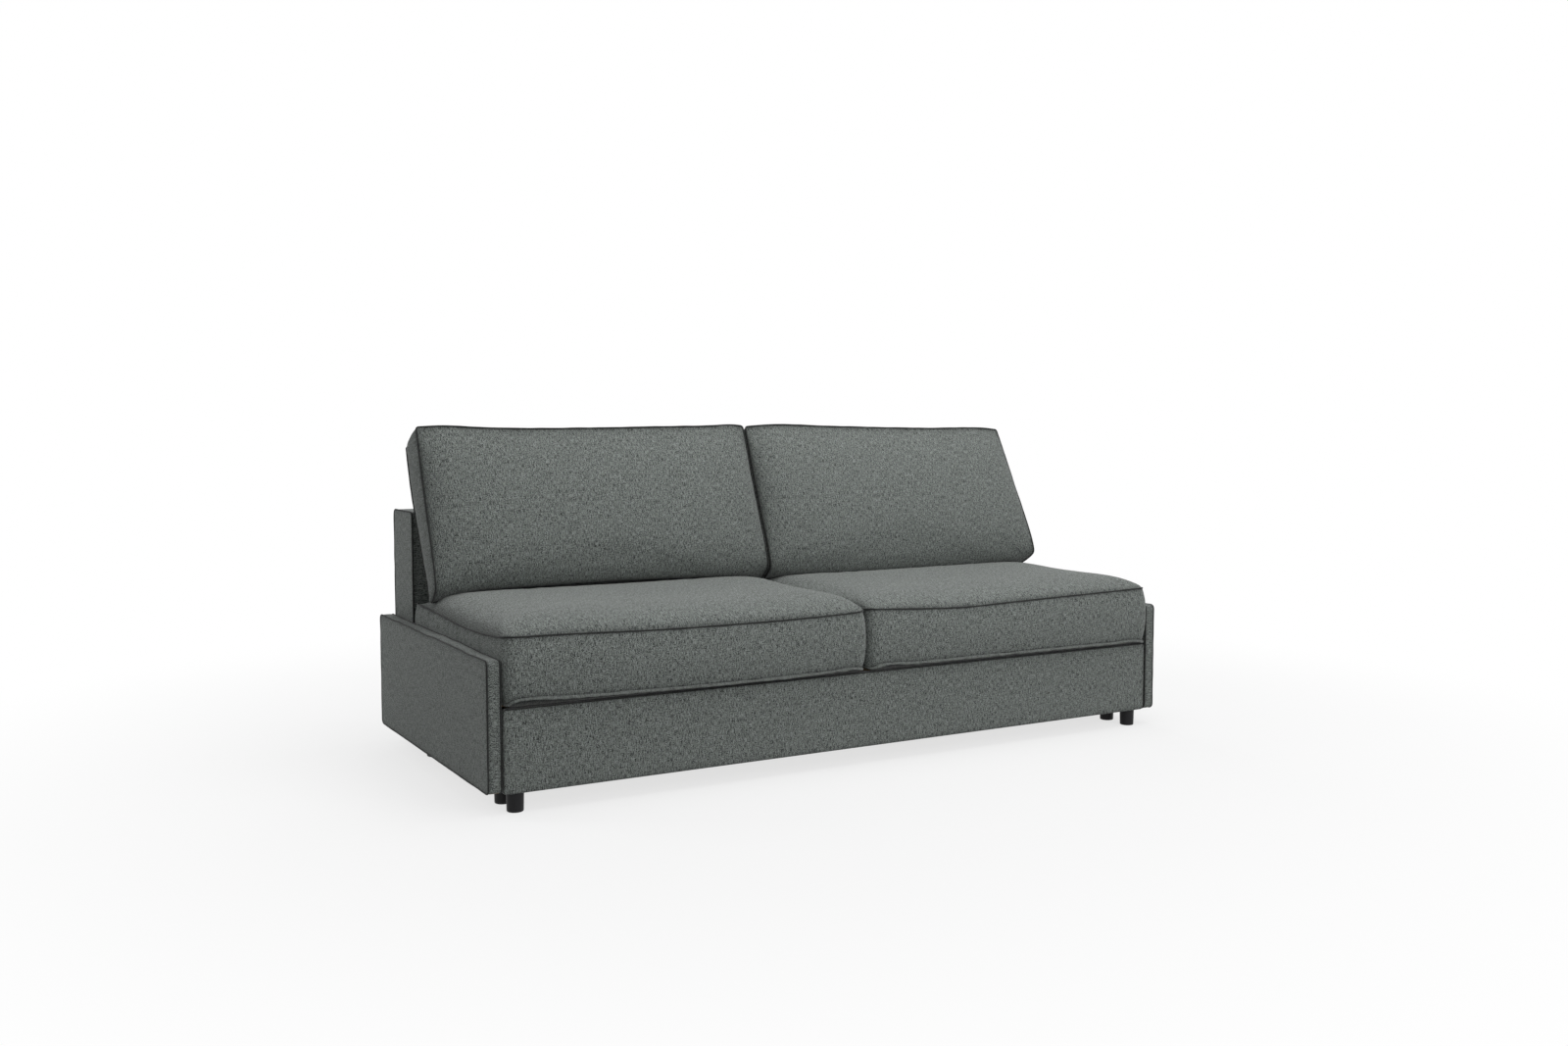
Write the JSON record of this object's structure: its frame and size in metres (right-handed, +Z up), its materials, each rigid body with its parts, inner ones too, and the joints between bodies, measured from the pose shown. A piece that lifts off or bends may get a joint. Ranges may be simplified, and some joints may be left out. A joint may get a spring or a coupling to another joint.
{
  "type": "armless sofa",
  "caption": "Armless upholstered sofa on short round feet, with low side panels, a slatted seat base that pulls out at the front, loose seat cushions and leaning back cushions.",
  "frame": {"origin": "on the floor, under the centre of the whole sofa's bounding box", "axes": "+X to the viewer's right when facing the sofa, along its width; -Y towards the front; +Z up"},
  "size_m": [1.97, 0.9059, 0.8527],
  "materials": {
    "sofa_fabric": "flat grey-green melange weave",
    "wadding": "soft white fleece",
    "foam": "cut foam",
    "pine": "planed, raw",
    "slat_wood": "planed, raw",
    "panel_board": "raw particle board",
    "hardboard": "raw hardboard",
    "foot_plastic": "black, slight sheen",
    "roller_nylon": "natural nylon",
    "runner_steel": "zinc plated",
    "fastener_steel": "zinc plated"
  },
  "bodies": {
    "base": {"back_frame_cover": "sofa_fabric", "side_panel_cover_left": "sofa_fabric", "side_panel_cover_right": "sofa_fabric", "side_panel_wadding_left": "wadding", "side_panel_wadding_right": "wadding", "back_frame_padding": "foam", "fixed_front_rail": "pine", "fixed_rear_rail": "pine", "centre_block": "pine", "back_bottom_rail": "pine", "back_top_rail": "pine", "back_upright_left": "pine", "back_upright_middle": "pine", "back_upright_right": "pine", "side_rail_left": "pine", "side_rail_right": "pine", "fixed_front_block_left": "pine", "fixed_front_block_right": "pine", "rear_block_left": "pine", "rear_block_right": "pine", "fixed_slats": "slat_wood", "back_front_board": "panel_board", "side_panel_board_left": "panel_board", "side_panel_board_right": "panel_board", "back_rear_board": "hardboard", "centre_foot": "foot_plastic", "fixed_front_foot_left": "foot_plastic", "fixed_front_foot_right": "foot_plastic", "rear_foot_left": "foot_plastic", "rear_foot_right": "foot_plastic", "runner_left": "runner_steel", "runner_right": "runner_steel", "side_panel_bolts": "fastener_steel", "rail_screws": "fastener_steel", "fixed_slat_screws": "fastener_steel", "back_frame_bolts": "fastener_steel"},
    "pull_unit": {"front_panel_cover": "sofa_fabric", "front_panel_wadding": "wadding", "front_panel_board": "panel_board", "front_slat_rail": "pine", "rear_batten": "pine", "pull_slats": "slat_wood", "pull_slat_screws": "fastener_steel", "front_rail_screws": "fastener_steel", "front_block_left": "pine", "front_block_right": "pine", "front_foot_left": "foot_plastic", "front_foot_right": "foot_plastic", "roller_bracket_left": "runner_steel", "roller_bracket_right": "runner_steel"},
    "roller_left": {"roller_left": "roller_nylon"},
    "seat_cushion_left": {"seat_cushion_cover_left": "sofa_fabric", "seat_cushion_core_left": "foam"},
    "back_cushion_left": {"back_cushion_cover_left": "sofa_fabric", "back_cushion_core_left": "foam"},
    "roller_right": {"roller_right": "roller_nylon"},
    "seat_cushion_right": {"seat_cushion_cover_right": "sofa_fabric", "seat_cushion_core_right": "foam"},
    "back_cushion_right": {"back_cushion_cover_right": "sofa_fabric", "back_cushion_core_right": "foam"}
  },
  "joints": [
    {"name": "pull_out", "type": "slide", "parent": "base", "child": "pull_unit", "axis": [0, -1, 0], "range_m": [0, 0.45]},
    {"name": "roller_left_turn", "type": "hinge", "parent": "pull_unit", "child": "roller_left", "pos_m": [-0.8983, 0.2077, 0.1897], "axis": [1, 0, 0], "continuous": true},
    {"name": "roller_right_turn", "type": "hinge", "parent": "pull_unit", "child": "roller_right", "pos_m": [0.8983, 0.2077, 0.1897], "axis": [1, 0, 0], "continuous": true},
    {"name": "seat_cushion_left_slide", "type": "slide", "parent": "base", "child": "seat_cushion_left", "axis": [0, -1, 0], "range_m": [0, 0.45]},
    {"name": "seat_cushion_right_slide", "type": "slide", "parent": "base", "child": "seat_cushion_right", "axis": [0, -1, 0], "range_m": [0, 0.45]},
    {"name": "back_cushion_left_lift", "type": "slide", "parent": "base", "child": "back_cushion_left", "axis": [0, 0, 1], "range_m": [0, 0.3]},
    {"name": "back_cushion_right_lift", "type": "slide", "parent": "base", "child": "back_cushion_right", "axis": [0, 0, 1], "range_m": [0, 0.3]}
  ],
  "couplings": [
    {"joint": "roller_left_turn", "follows": "pull_out", "rad_per_m": 71.429},
    {"joint": "roller_right_turn", "follows": "pull_out", "rad_per_m": 71.429}
  ]
}
